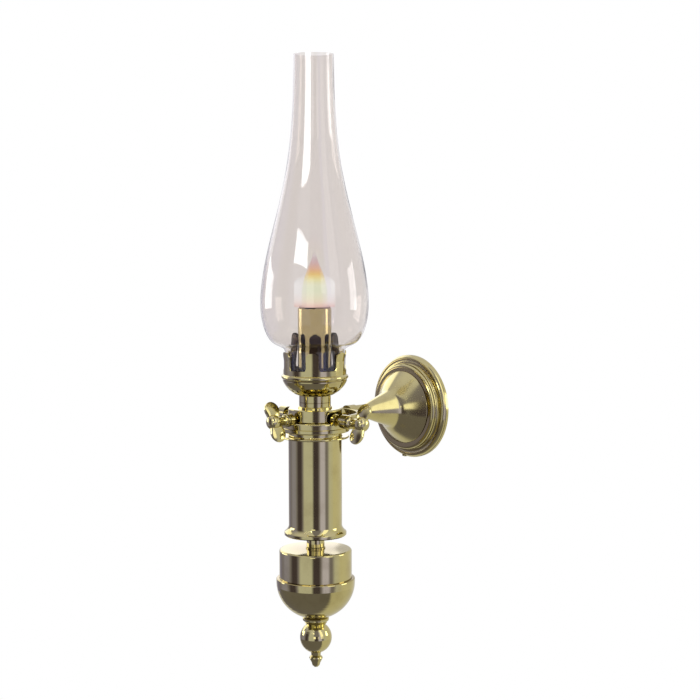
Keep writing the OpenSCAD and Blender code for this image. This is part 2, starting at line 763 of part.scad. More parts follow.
module draught_plate() {
    n = 18;
    low_z = gallery_floor_z;
    color(brass) on_lamp() difference() {
        translate([0, 0, low_z]) cylinder(r = spring_r - spring_t, h = 0.8);
        translate([0, 0, low_z - 1]) cylinder(r = plate_in_r, h = 3);
        for (i = [0 : n - 1]) rotate([0, 0, 360 * i / n])
            translate([(plate_in_r + spring_r - spring_t) / 2, 0, low_z - 1])
                cylinder(r = 1, h = 3);
    }
}

// The round wick is a flat one wrapped round the draught tube, and its edges leave this seam
seam_w = 3.6;
seam_angle = 300;
wick_r = wick_tube_r - sheet_t - 0.2;
draught_r = wick_r - wick_t - 0.2;
draught_low_z = 39;
wick_root_z = 31;
wick_tail_r = 6;
wick_tail_z = font_bottom_z + 8;
tube_step_z = 24;
tube_foot_r = neck_in_r - slip;

module wick_tube() {
    t = sheet_t;
    color(brass) difference() {
        on_lamp() union() {
            rotate_extrude() polygon([
                [tube_foot_r, collar_top_z + 2], [tube_foot_r, neck_top_z + 2],
                [wick_tube_r, tube_step_z], [wick_tube_r, wick_tube_z],
                [wick_tube_r - t, wick_tube_z], [wick_tube_r - t, tube_step_z],
                [tube_foot_r - t, neck_top_z + 2], [tube_foot_r - t, collar_top_z + 2]]);
            tube(draught_r, t, draught_low_z, wick_tube_z);
            rotate([0, 0, seam_angle]) translate([draught_r - t / 2, -t / 2, draught_low_z])
                cube([wick_tube_r - draught_r, t, wick_tube_z - draught_low_z]);
        }
        on_winder() translate([-2.6, -5, -4.2]) cube([5.2, 5 + eps, 8.4]);
    }
}

module wick() {
    top_z = wick_tube_z + wick_show;
    color(cotton) on_lamp() difference() {
        rotate_extrude() polygon([
            [wick_tail_r, wick_tail_z], [wick_tail_r, wick_root_z - 6], [wick_r, wick_root_z],
            [wick_r, top_z - 0.4], [wick_r - 0.3, top_z], [wick_r - wick_t + 0.3, top_z],
            [wick_r - wick_t, top_z - 0.4], [wick_r - wick_t, wick_root_z],
            [wick_tail_r - wick_t, wick_root_z - 6], [wick_tail_r - wick_t, wick_tail_z]]);
        rotate([0, 0, seam_angle]) translate([0, -seam_w / 2, wick_root_z - 8])
            cube([2 * wick_r, seam_w, top_z]);
    }
}

// Winder

module winder_bush() {
    color(brass) on_winder() difference() {
        rod_x(winder_bush_r, 5, 18.5);
        rod_x(winder_r + running_gap, 4, 20);
    }
}

module winder_shaft() {
    color(steel) on_winder() rod_x(winder_r, -3, winder_out + 1.4);
}

cog_teeth = 10;
cog_root_r = 2.5;
cog_tip_r = winder_offset - wick_r - 0.4;

module winder_cog() {
    color(steel) on_winder() difference() {
        union() {
            rod_x(cog_root_r, -1.6, 1.6);
            for (i = [0 : cog_teeth - 1]) rotate([360 * i / cog_teeth, 0, 0])
                translate([-1.6, 0, 0]) rotate([90, 0, 90]) linear_extrude(3.2) polygon([
                    [-0.65, cog_root_r - 0.4], [0.65, cog_root_r - 0.4],
                    [0.2, cog_tip_r], [-0.2, cog_tip_r]]);
        }
        rod_x(winder_r, -4, 4);
    }
}

module winder_knob() {
    notches = 28;
    color(polished) on_winder() difference() {
        union() {
            rod_x(winder_knob_r, winder_out, winder_out + 1.8);
            rod_x(2.4, winder_out - 1.6, winder_out + 2.4);
        }
        rod_x(winder_r, winder_out - 4, winder_out + 1.4);
        for (i = [0 : notches - 1]) rotate([360 * i / notches, 0, 0])
            translate([winder_out - 0.5, 0, winder_knob_r + 0.1]) rotate([45, 0, 0])
                translate([0, -0.25, -0.25]) cube([3, 0.5, 0.5]);
    }
}

// Chimney

foot_low_z = gallery_floor_z;
foot_high_z = 44.5;
shoulder = [26.2, 51];
waist = [16.6, 177];
chimney_path = concat(
    [[fitter_r, foot_low_z]],
    curve([[fitter_r, foot_high_z], [fitter_r, foot_high_z + 3.2],
           [fitter_r + 3.4, foot_high_z + 5], shoulder], 5),
    curve([shoulder + [0.7, 0.5], [30.2, 55.4], [bulb_r, bulb_z - 13], [bulb_r, bulb_z]], 9),
    curve([[bulb_r, bulb_z + 1.5], [bulb_r, bulb_z + 27], [waist[0] + 4.6, waist[1] - 37],
           waist], 16),
    curve([waist + [-0.2, 1.6], waist + [-1.7, 13], [mouth_r + 0.3, waist[1] + 28],
           [mouth_r, chimney_top_z]], 7)
);

module chimney() {
    color(glass) on_lamp() rotate_extrude() polygon(wall(chimney_path, glass_t));
}

// Counterweight

drum_in_r = drum_r - weight_wall;
lip_low_z = lip_top_z - lip_h;
bowl_low_z = lip_low_z - weight_bowl_h;
lip_in_r = drum_r + 2 * slip;
// The stem's lower end is screwed into the finial
stem_low_z = bowl_low_z - 0.75 * ball_r;
stem_room = 0.5;

// A thin ring at the stem's foot rests on the drum's top
stem_ring_r = 1.1 * stem_r;

module weight_stem() {
    color(brass) on_lamp() rotate_extrude() polygon([
        [0, stem_low_z], [stem_spigot_r, stem_low_z], [stem_spigot_r, weight_top_z],
        [stem_ring_r, weight_top_z], [stem_ring_r, weight_top_z + 0.13 * stem_r],
        [stem_r, weight_top_z + 0.2 * stem_r], [stem_r, foot_plate_z],
        [stem_spigot_r, foot_plate_z],
        [stem_spigot_r, stem_top_z], [0, stem_top_z]]);
}

// The drum's top slopes down a little from the stem to its rounded shoulder
shoulder_r = 0.065 * drum_r;
shoulder_drop = 0.4;
drum_path = concat(
    [[drum_r, lip_low_z], [drum_r, lip_top_z],
     [drum_r, weight_top_z - shoulder_drop - 1.5 * shoulder_r]],
    arc([drum_r - shoulder_r, weight_top_z - shoulder_drop - shoulder_r], shoulder_r, 0, 82, 6),
    [[stem_spigot_r + slip, weight_top_z]]);

module weight_drum() {
    color(brass) on_lamp() rotate_extrude() polygon(wall(drum_path, weight_wall));
}

// Half of an ellipse from the bowl's bottom up to its lip
function bowl_curve(r, h, r_low, n) =
    let (a0 = acos(r_low / r))
    [for (i = [0 : n]) let (a = -a0 + a0 * i / n) [r * cos(a), lip_low_z + h * sin(a)]];

module weight_bowl() {
    bottom_r = finial_collar_r - 1;
    outside = bowl_curve(lip_r, weight_bowl_h, bottom_r, 14);
    inside = bowl_curve(lip_r - weight_wall, weight_bowl_h - weight_wall, bottom_r, 12);
    color(brass) on_lamp() rotate_extrude() polygon(concat(
        [[stem_spigot_r + slip, outside[0][1]]], outside,
        arc([lip_r - 0.8, lip_top_z - 0.8], 0.8, 0, 90, 3),
        [[lip_in_r, lip_top_z], [lip_in_r, lip_low_z - 0.2]],
        [for (p = reversed(inside)) if (p[1] < lip_low_z - 0.2) p],
        [[stem_spigot_r + slip, inside[0][1]]]));
}

module weight_core() {
    r = drum_in_r - 0.2;
    gap = weight_wall + 0.2;
    inside = bowl_curve(lip_r - gap, weight_bowl_h - gap, finial_collar_r, 10);
    color(iron) on_lamp() rotate_extrude() polygon(concat(
        [[stem_spigot_r + slip, inside[0][1]]],
        [for (p = inside) if (p[1] < lip_low_z - 1.6) p],
        [[r, lip_low_z - 0.4], [r, weight_top_z - 7], [r - 2, weight_top_z - 5],
         [stem_spigot_r + slip, weight_top_z - 3]]));
}

bowl_end_z = lip_low_z - weight_bowl_h * sqrt(1 - pow((finial_collar_r - 1) / lip_r, 2));
// The ball starts and ends where its necks are this wide
ball_top_r = 0.585 * ball_r;
ball_low_r = 0.32 * ball_r;
ball_z = bowl_end_z - finial_collar_h - sqrt(pow(ball_r, 2) - pow(ball_top_r, 2)) - 0.12 * ball_r;

module finial() {
    top = bowl_end_z;
    low = ball_z - ball_r;
    h = finial_collar_h;
    bead = 0.21 * h;
    k = 0.1 * ball_r;
    color(brass) on_lamp() difference() {
        rotate_extrude() polygon(concat(
            [[0, top], [finial_collar_r - bead, top], [finial_collar_r, top - bead]],
            arc([finial_collar_r - bead, top - 0.47 * h], bead, 20, -60, 4),
            [[1.06 * ball_top_r, top - 0.79 * h], [1.18 * ball_top_r, top - h]],
            arc([0, ball_z], ball_r, 90 - asin(ball_top_r / ball_r),
                -90 + asin(ball_low_r / ball_r), 16),
            [[2.9 * k, low - 1.5 * k], [4 * k, low - 2.5 * k], [4.25 * k, low - 3.2 * k],
             [3.8 * k, low - 4.2 * k], [2.8 * k, low - 6.2 * k], [2.3 * k, low - 7.9 * k],
             [1.3 * k, low - 8.9 * k], [0, low - 9.25 * k]]));
        translate([0, 0, stem_low_z - stem_room])
            cylinder(r = stem_spigot_r + slip, h = top - stem_low_z + 2 * stem_room);
    }
}

wall_disc();
wall_rose();
rose_screw();
arm();
arm_washer();
arm_nut();
yoke();
left_pivot_screw();
right_wing_screw();
gimbal_ring();
rear_pivot_screw();
front_wing_screw();
pivot_collar();
lamp_tube();
tube_foot();
oil_font();
burner_neck();
burner_bowl();
draught_plate();
gallery();
spring_fingers();
wick_tube();
wick();
winder_bush();
winder_shaft();
winder_cog();
winder_knob();
chimney();
weight_stem();
weight_drum();
weight_bowl();
weight_core();
finial();
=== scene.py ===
"""Finishes, wick, flame, light and camera for a gimballed brass wall oil lamp.

Lengths are in metres. The wall is the plane Y = 0, the room lies towards -Y and +Z is up.
"""

import math

import bmesh
import bpy
from mathutils import Matrix, Vector


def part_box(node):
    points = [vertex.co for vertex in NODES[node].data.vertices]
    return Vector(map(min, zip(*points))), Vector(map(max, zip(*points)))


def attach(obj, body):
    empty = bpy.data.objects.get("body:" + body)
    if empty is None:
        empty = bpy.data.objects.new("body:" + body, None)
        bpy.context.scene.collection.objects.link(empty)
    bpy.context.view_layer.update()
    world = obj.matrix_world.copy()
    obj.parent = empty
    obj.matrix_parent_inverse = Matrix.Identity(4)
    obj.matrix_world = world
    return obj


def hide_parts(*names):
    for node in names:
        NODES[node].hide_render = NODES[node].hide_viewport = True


MM = 0.001

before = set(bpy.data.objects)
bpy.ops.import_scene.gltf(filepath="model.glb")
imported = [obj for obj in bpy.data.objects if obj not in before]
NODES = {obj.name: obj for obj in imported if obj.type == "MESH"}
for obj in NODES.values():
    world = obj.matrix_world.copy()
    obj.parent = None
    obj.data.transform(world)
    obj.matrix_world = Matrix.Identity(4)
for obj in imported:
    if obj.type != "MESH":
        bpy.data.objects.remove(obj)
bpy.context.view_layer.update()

TUBE_LOW, TUBE_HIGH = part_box("lamp_tube")
LAMP_Y = ((TUBE_LOW + TUBE_HIGH) / 2).y
WICK_LOW, WICK_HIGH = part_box("wick")


# Colours

def linear(red, green, blue):
    """A colour given as it looks on a screen, from 0 to 255, as the linear values that shaders use."""
    def channel(value):
        share = value / 255
        return share / 12.92 if share <= 0.04045 else ((share + 0.055) / 1.055) ** 2.4
    return (channel(red), channel(green), channel(blue), 1.0)


BRASS = linear(203, 191, 124)
BRASS_DULL = linear(152, 134, 80)
BURNER_BRASS = linear(196, 182, 136)
HEAT_BROWN = linear(66, 54, 44)
STEEL = linear(176, 174, 170)
IRON = linear(70, 68, 66)
GLASS = linear(234, 229, 226)
COTTON = linear(226, 216, 190)
COTTON_SHADE = linear(178, 160, 122)
CHAR = linear(28, 22, 20)
WHITE = (1.0, 1.0, 1.0, 1.0)
BLACK = (0.0, 0.0, 0.0, 1.0)


# Shader maths

class Wire:
    """One output of a node tree, with the sums that shader maths needs."""

    def __init__(self, tree, socket):
        self.tree = tree
        self.socket = socket

    def math(self, operation, *others):
        """A Math node on this wire and the others."""
        values = dict(enumerate((self, *others)))
        return add_node(self.tree, "ShaderNodeMath", {"operation": operation}, values)

    def __add__(self, other):
        return self.math("ADD", other)

    def __sub__(self, other):
        return self.math("SUBTRACT", other)

    def __mul__(self, other):
        return self.math("MULTIPLY", other)

    def __truediv__(self, other):
        return self.math("DIVIDE", other)

    def __rsub__(self, other):
        return add_node(self.tree, "ShaderNodeMath", {"operation": "SUBTRACT"}, {0: other, 1: self})

    __radd__ = __add__
    __rmul__ = __mul__

    def smooth(self, low, high):
        """0 below low, 1 above high and a smooth rise between them."""
        values = {"Value": self, "From Min": low, "From Max": high}
        return add_node(self.tree, "ShaderNodeMapRange", {"interpolation_type": "SMOOTHSTEP"}, values)

    def near(self, middle, reach):
        """1 at middle, falling smoothly to 0 at reach away from it."""
        return 1 - (self - middle).math("ABSOLUTE").smooth(0, reach)


def plug(tree, socket, value):
    """Links a wire to a socket, or sets the socket's own value."""
    if isinstance(value, Wire):
        tree.links.new(value.socket, socket)
    else:
        socket.default_value = value


def set_stops(ramp, stops):
    """Gives a colour ramp these (position, colour) stops."""
    while len(ramp.elements) > 1:
        ramp.elements.remove(ramp.elements[-1])
    first, *rest = stops
    ramp.elements[0].position, ramp.elements[0].color = first
    for position, colour in rest:
        ramp.elements.new(position).color = colour


def add_node(tree, kind, settings=None, inputs=None, out=0):
    """A new node with its settings made first and then its sockets. Returns one of its outputs."""
    node = tree.nodes.new(kind)
    for name, value in (settings or {}).items():
        if name == "stops":
            set_stops(node.color_ramp, value)
        else:
            setattr(node, name, value)
    for key, value in (inputs or {}).items():
        plug(tree, node.inputs[key], value)
    return Wire(tree, node.outputs[out])


def mix(tree, share, first, second):
    """A colour between two colours."""
    return add_node(tree, "ShaderNodeMix", {"data_type": "RGBA"}, {0: share, 6: first, 7: second}, out=2)


def place(tree):
    """The point's place in the lamp's frame."""
    return add_node(tree, "ShaderNodeTexCoord", out=3)


def split(tree, vector):
    """The three parts of a vector."""
    parts = tree.nodes.new("ShaderNodeSeparateXYZ")
    plug(tree, parts.inputs[0], vector)
    return [Wire(tree, parts.outputs[i]) for i in range(3)]


def join(tree, x, y, z):
    """A vector from three parts."""
    return add_node(tree, "ShaderNodeCombineXYZ", None, {0: x, 1: y, 2: z})


def noise(tree, vector, scale, detail=3, roughness=0.5):
    """Noise from 0 to 1 with this many bumps to the metre."""
    values = {"Vector": vector, "Scale": scale, "Detail": detail, "Roughness": roughness}
    return add_node(tree, "ShaderNodeTexNoise", None, values)


def bump(tree, height, distance, normal=None):
    """A normal from a height from 0 to 1 that stands for this many metres."""
    values = {"Height": height, "Distance": distance, "Strength": 1.0}
    if normal:
        values["Normal"] = normal
    return add_node(tree, "ShaderNodeBump", None, values)


def new_material(name):
    """An empty material, its tree, and its surface shader."""
    material = bpy.data.materials.new(name)
    material.use_nodes = True
    tree = material.node_tree
    tree.nodes.clear()
    shader = tree.nodes.new("ShaderNodeBsdfPrincipled")
    output = tree.nodes.new("ShaderNodeOutputMaterial")
    tree.links.new(shader.outputs[0], output.inputs["Surface"])
    return material, tree, shader


def finish_with(tree, shader, **values):
    """Sets the surface shader's sockets, whose names are given with _ for a space."""
    for name, value in values.items():
        plug(tree, shader.inputs[name.replace("_", " ")], value)


# Metals

# Bumps to the metre of each pattern, and how deep the marks of the lathe and the slow ripples are
CLOUD_SCALE = 60
SPECK_SCALE = 1500
LATHE_SCALE = 5200
RIPPLE_SCALE = 34
LATHE_DEPTH = 0.0000004
RIPPLE_DEPTH = 0.00004
SEAM_REACH = 0.7 * MM


def lathe_lines(tree, at, along):
    """Fine turning marks round the lamp's axis, or round the wall rose's axis with along="Y"."""
    x, y, z = split(tree, at)
    if along == "Z":
        radius = (x * x + (y - LAMP_Y) * (y - LAMP_Y)).math("SQRT")
        level = z
    else:
        radius = (x * x + z * z).math("SQRT")
        level = y
    return noise(tree, join(tree, radius, level, 0.0), LATHE_SCALE, 2)


def metal(name, colour, stain, rough, along="Z", lines=0.5, stain_share=0.35, seams=()):
    """Polished metal with turning marks, faint clouds of tarnish, specks and darker seams.

    The seams are heights, or distances from the wall with along="Y".
    """
    material, tree, shader = new_material(name)
    at = place(tree)
    clouds = noise(tree, at, CLOUD_SCALE, 4, 0.6)
    specks = noise(tree, at, SPECK_SCALE, 3, 0.6)
    marks = lathe_lines(tree, at, along)
    ripple = noise(tree, at, RIPPLE_SCALE, 1)
    tarnish = clouds.smooth(0.42, 0.78) * stain_share + specks.smooth(0.64, 0.8) * 0.18
    level = split(tree, at)[2] if along == "Z" else split(tree, at)[1] * -1
    for seam in seams:
        tarnish = tarnish.math("MAXIMUM", level.near(seam, SEAM_REACH) * 0.85)
    roughness = rough + clouds.smooth(0.35, 0.8) * 0.04 + specks.smooth(0.5, 0.8) * 0.03
    polish = bump(tree, marks * lines + specks * 0.25, LATHE_DEPTH)
    finish_with(
        tree, shader,
        Base_Color=mix(tree, tarnish, colour, stain),
        Metallic=1.0,
        Roughness=roughness,
        Normal=bump(tree, ripple, RIPPLE_DEPTH, normal=polish),
    )
    return material


def dress(material, *nodes):
    """Puts one material on each of the nodes."""
    for node in nodes:
        mesh = NODES[node].data
        mesh.materials.clear()
        mesh.materials.append(material)


BODY_SEAMS = [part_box(node)[1].z for node in ("lamp_tube", "weight_bowl", "finial")]
BODY_SEAMS += [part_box("burner_neck")[0].z + 10 * MM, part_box("gallery")[0].z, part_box("weight_drum")[1].z]
ROSE_SEAMS = (4.8 * MM, 7.2 * MM, 9.6 * MM)

polished_brass = metal("polished_brass", BRASS, BRASS_DULL, 0.06, seams=BODY_SEAMS)
wall_brass = metal("wall_brass", BRASS, BRASS_DULL, 0.15, along="Y", lines=0.2, seams=ROSE_SEAMS)
screw_brass = metal("screw_brass", BRASS, BRASS_DULL, 0.12, lines=0.2)
burner_brass = metal("burner_brass", BURNER_BRASS, BRASS_DULL, 0.14)
heated_brass = metal("heated_brass", HEAT_BROWN, CHAR, 0.38, stain_share=0.6)
plated_steel = metal("plated_steel", STEEL, IRON, 0.22, stain_share=0.25)
cast_iron = metal("cast_iron", IRON, CHAR, 0.55, stain_share=0.6)

dress(wall_brass, "wall_rose", "yoke")
dress(polished_brass, "gimbal_ring", "pivot_collar", "lamp_tube", "oil_font", "burner_neck",
      "burner_bowl", "gallery", "weight_stem", "weight_drum", "weight_bowl", "finial")
dress(screw_brass, "rose_screw", "left_pivot_screw", "right_wing_screw", "rear_pivot_screw",
      "front_wing_screw", "winder_knob")
dress(burner_brass, "wick_tube", "draught_plate", "winder_bush")
dress(heated_brass, "spring_fingers")
dress(plated_steel, "wall_disc", "arm_washer", "arm_nut", "tube_foot", "winder_shaft", "winder_cog")
dress(cast_iron, "weight_core")


# Glass

GLASS_RIPPLE_SCALE = 28
GLASS_RIPPLE_DEPTH = 0.0004
GLASS_IOR = 1.47


def clear_glass():
    """Thin blown glass with a trace of haze and slow ripples."""
    material, tree, shader = new_material("chimney_glass")
    at = place(tree)
    ripple = noise(tree, at, GLASS_RIPPLE_SCALE, 1)
    haze = noise(tree, at, CLOUD_SCALE, 4)
    finish_with(
        tree, shader,
        Base_Color=GLASS,
        Roughness=haze.smooth(0.55, 0.8) * 0.04,
        IOR=GLASS_IOR,
        Transmission_Weight=1.0,
        Normal=bump(tree, ripple, GLASS_RIPPLE_DEPTH),
    )
    return material


# New pieces

MERGE_DISTANCE = 1e-7
ROUND_STEPS = 128


def new_piece(name, mesh_data, body, material, crease=180):
    """Makes an object from a bmesh and hangs it on a body. Edges that turn more than crease stay sharp."""
    for edge in mesh_data.edges:
        if len(edge.link_faces) == 2:
            edge.smooth = edge.calc_face_angle() < math.radians(crease)
    mesh = bpy.data.meshes.new(name)
    mesh_data.to_mesh(mesh)
    mesh_data.free()
    mesh.materials.append(material)
    piece = bpy.data.objects.new(name, mesh)
    bpy.context.scene.collection.objects.link(piece)
    for face in mesh.polygons:
        face.use_smooth = True
    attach(piece, body)
    return piece


def outline_edges(mesh_data, points):
    """An open chain of edges through the points."""
    verts = [mesh_data.verts.new(point) for point in points]
    for start, end in zip(verts, verts[1:]):
        mesh_data.edges.new((start, end))


def turn(mesh_data, steps, centre=(0, LAMP_Y, 0), axis=(0, 0, 1)):
    """Spins a chain of edges a full turn round an axis, which is the lamp's unless another is given."""
    bmesh.ops.spin(
        mesh_data, geom=mesh_data.verts[:] + mesh_data.edges[:], cent=centre, axis=axis,
        angle=math.tau, steps=steps, use_merge=True, use_duplicate=False)
    bmesh.ops.remove_doubles(mesh_data, verts=mesh_data.verts, dist=MERGE_DISTANCE)
    bmesh.ops.recalc_face_normals(mesh_data, faces=mesh_data.faces)


# Chimney

GLASS_T = 1.1 * MM
FITTER_R = 20 * MM
BULB_R = 36 * MM
MOUTH_R = 13.2 * MM


def bezier(start, first, second, end, steps):
    """Points on a curve that leaves start towards first and comes to end from second."""
    points = []
    for i in range(1, steps + 1):
        t = i / steps
        s = 1 - t
        weights = (s * s * s, 3 * s * s * t, 3 * s * t * t, t * t * t)
        corners = (start, first, second, end)
        points.append(tuple(sum(w * corner[axis] for w, corner in zip(weights, corners)) for axis in (0, 1)))
    return points


def make_chimney():
    """The blown glass chimney: a straight foot, a round bulb, a slender neck and a plain mouth."""
    low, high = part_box("chimney")
    foot = (FITTER_R, 44.5 * MM)
    under = (28.4 * MM, 50.6 * MM)
    belly = (BULB_R, 76 * MM)
    waist = (16.6 * MM, 177 * MM)
    path = [(FITTER_R, low.z), foot]
    path += bezier(foot, (FITTER_R, 47.4 * MM), (25.4 * MM, 48.0 * MM), under, 10)
    path += bezier(under, (32.6 * MM, 54.2 * MM), (BULB_R, 64 * MM), belly, 14)
    path += bezier(belly, (BULB_R, 105 * MM), (21.2 * MM, 140 * MM), waist, 28)
    path += bezier(waist, (14.9 * MM, 190 * MM), (13.5 * MM, 205 * MM), (MOUTH_R, high.z - 0.4 * MM), 16)
    data = bmesh.new()
    outline_edges(data, [(r, LAMP_Y, z) for r, z in path])
    turn(data, ROUND_STEPS)
    bmesh.ops.solidify(data, geom=data.faces[:], thickness=GLASS_T)
    return new_piece("blown_chimney", data, "chimney", clear_glass(), crease=60)


chimney = make_chimney()
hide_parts("chimney")


# Arm

ROSE_FRONT = 9.6 * MM
ROD_R = 5.0 * MM
ROD_END = 55 * MM
STUD_R = 4.0 * MM
SPIGOT_R = 3.0 * MM
BELL_FOOT_R = 25.2 * MM
# How far from the wall the bell's slender front begins on the rod, and the radius and distance
# at which it turns into the wide cone behind
BELL_WAIST_D = 45 * MM
BELL_TURN = (12.6 * MM, 22.6 * MM)


def make_arm():
    """The arm: a bell that stands on the rose, its rod, the stud behind and the spigot in front."""
    low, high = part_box("arm")
    foot = (BELL_FOOT_R, ROSE_FRONT + 0.4 * MM)
    cone_top = (BELL_TURN[0] + 3.4 * MM, BELL_TURN[1] - 3.4 * MM)
    front = (BELL_TURN[0] - 1.4 * MM, BELL_TURN[1] + 3.9 * MM)
    slender = (ROD_R + 1.2 * MM, BELL_WAIST_D - 4.5 * MM)
    outline = [(0, -high.y), (STUD_R, -high.y), (STUD_R, ROSE_FRONT), (BELL_FOOT_R - 0.3 * MM, ROSE_FRONT)]
    outline += [foot, (BELL_FOOT_R - 0.3 * MM, ROSE_FRONT + 0.9 * MM), cone_top]
    outline += bezier(cone_top, BELL_TURN, BELL_TURN, front, 10)
    outline += bezier(front, (9.8 * MM, 30.4 * MM), (8.0 * MM, 35.6 * MM), slender, 8)
    outline += bezier(slender, (ROD_R + 0.4 * MM, BELL_WAIST_D - 2.2 * MM), (ROD_R, BELL_WAIST_D - MM),
                      (ROD_R, BELL_WAIST_D), 6)
    outline += [(ROD_R, ROD_END - 0.3 * MM), (ROD_R - 0.3 * MM, ROD_END), (SPIGOT_R, ROD_END),
                (SPIGOT_R, -low.y), (0, -low.y)]
    data = bmesh.new()
    outline_edges(data, [(r, -depth, 0) for r, depth in outline])
    turn(data, ROUND_STEPS, centre=(0, 0, 0), axis=(0, 1, 0))
    return new_piece("bell_arm", data, "bracket", wall_brass, crease=40)


arm = make_arm()
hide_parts("arm")


# Wick

WICK_R = 10.5 * MM
WICK_T = 1.2 * MM
SEAM_ANGLE = math.radians(300)
SEAM_W = 3.6 * MM
TAIL_R = 6 * MM
ROOT_Z = 31 * MM
WICK_STEPS = 72
WARP_THREADS = 64
WEFT_PITCH = 0.9 * MM
WEAVE_DEPTH = 0.00012
FIBRE_SCALE = 2400


def cotton_weave():
    """Plain woven cotton with a charred top edge."""
    material, tree, shader = new_material("wick_cotton")
    at = place(tree)
    x, y, z = split(tree, at)
    angle = (y - LAMP_Y).math("ARCTAN2", x)
    warp = (angle * WARP_THREADS).math("SINE")
    weft = (z * (math.tau / WEFT_PITCH)).math("SINE")
    weave = warp * weft * 0.5 + 0.5
    grain = noise(tree, at, FIBRE_SCALE)
    char = z.smooth(WICK_HIGH.z - 1.6 * MM, WICK_HIGH.z - 0.3 * MM)
    cloth = mix(tree, weave * 0.5 + grain * 0.3, COTTON_SHADE, COTTON)
    finish_with(
        tree, shader,
        Base_Color=mix(tree, char, cloth, CHAR),
        Roughness=0.9,
        Normal=bump(tree, weave + grain * 0.4, WEAVE_DEPTH),
    )
    return material


def make_wick():
    """The round wick: a sleeve of cotton with a gap where its flat tape's edges part."""
    outline = [
        (TAIL_R, WICK_LOW.z), (TAIL_R, ROOT_Z - 6 * MM), (WICK_R, ROOT_Z),
        (WICK_R, WICK_HIGH.z - 0.4 * MM), (WICK_R - 0.3 * MM, WICK_HIGH.z),
        (WICK_R - WICK_T + 0.3 * MM, WICK_HIGH.z), (WICK_R - WICK_T, WICK_HIGH.z - 0.4 * MM),
        (WICK_R - WICK_T, ROOT_Z), (TAIL_R - WICK_T, ROOT_Z - 6 * MM), (TAIL_R - WICK_T, WICK_LOW.z),
    ]
    half_gap = math.asin(SEAM_W / 2 / (TAIL_R - WICK_T))
    data = bmesh.new()
    verts = [data.verts.new((r, LAMP_Y, z)) for r, z in outline]
    face = data.faces.new(verts)
    bmesh.ops.rotate(data, verts=data.verts, cent=(0, LAMP_Y, 0),
                     matrix=Matrix.Rotation(SEAM_ANGLE + half_gap, 3, "Z"))
    bmesh.ops.spin(data, geom=data.verts[:] + data.edges[:] + [face], cent=(0, LAMP_Y, 0),
                   axis=(0, 0, 1), angle=math.tau - 2 * half_gap, steps=WICK_STEPS, use_duplicate=False)
    bmesh.ops.recalc_face_normals(data, faces=data.faces)
    return new_piece("woven_wick", data, "wick", cotton_weave())


wick = make_wick()
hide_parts("wick")


# Flame

FLAME_Z = WICK_HIGH.z - 0.3 * MM
FLAME_STEPS = 24
FLAME_ROUND_STEPS = 48
VEIL_R = 13.6 * MM
VEIL_H = 23 * MM
CORE_R = 8.4 * MM
HEART_R = 5.4 * MM
CORE_H = 40 * MM
VEIL_STOPS = [(0.0, linear(250, 214, 204)), (0.16, linear(255, 246, 242)), (0.4, WHITE), (1.0, WHITE)]
CORE_STOPS = [
    (0.0, linear(250, 200, 176)), (0.12, linear(240, 232, 120)), (0.3, linear(206, 232, 84)),
    (0.44, linear(246, 236, 120)), (0.53, linear(250, 214, 120)), (0.61, linear(240, 184, 136)),
    (0.73, linear(220, 170, 174)), (0.87, linear(205, 184, 205)), (1.0, linear(214, 204, 214)),
]


def flame_glow(name, height, stops, share, fade):
    """Glow that hides a share of what lies behind it. It thins out from the share fade of its height up."""
    material, tree, shader = new_material(name)
    rise = (split(tree, place(tree))[2] - FLAME_Z) / height
    colour = add_node(tree, "ShaderNodeValToRGB", {"stops": stops}, {"Fac": rise})
    finish_with(
        tree, shader,
        Base_Color=BLACK,
        Roughness=1.0,
        Specular_IOR_Level=0.0,
        Emission_Color=colour,
        Emission_Strength=1.0,
        Alpha=(1 - rise.smooth(fade, 0.98)) * share,
    )
    return material


def make_flame(name, radius, height, straight, power, stops, share, fade):
    """A round flame, straight for a share of its height and then drawn in, slimmer with more power."""
    outline = [(0.0, LAMP_Y, FLAME_Z)]
    for i in range(FLAME_STEPS):
        t = i / FLAME_STEPS
        above = max(0, t - straight) / (1 - straight)
        outline.append((radius * math.cos(math.pi / 2 * above) ** power, LAMP_Y, FLAME_Z + height * t))
    outline.append((0.0, LAMP_Y, FLAME_Z + height))
    data = bmesh.new()
    outline_edges(data, outline)
    turn(data, FLAME_ROUND_STEPS)
    new_piece(name, data, "wick", flame_glow(name, height, stops, share, fade))


make_flame("flame_veil", VEIL_R, VEIL_H, 0.66, 0.8, VEIL_STOPS, share=0.64, fade=0.6)
make_flame("flame_core", CORE_R, CORE_H, 0.2, 1.6, CORE_STOPS, share=0.42, fade=0.42)
make_flame("flame_heart", HEART_R, CORE_H, 0.2, 1.2, CORE_STOPS, share=0.55, fade=0.46)


# Camera

PHOTO_SIZE = 700
FOCAL_PIXELS = 1600
CAMERA_AZIMUTH = math.radians(48.356)
CAMERA_PITCH = math.radians(5.264)
CAMERA_ROLL = math.radians(-0.116)
CAMERA_DISTANCE = 1.0685
# Where the crossing of the pivot axes lies in the picture
PIVOT_PIXEL = (315.03, 417.29)


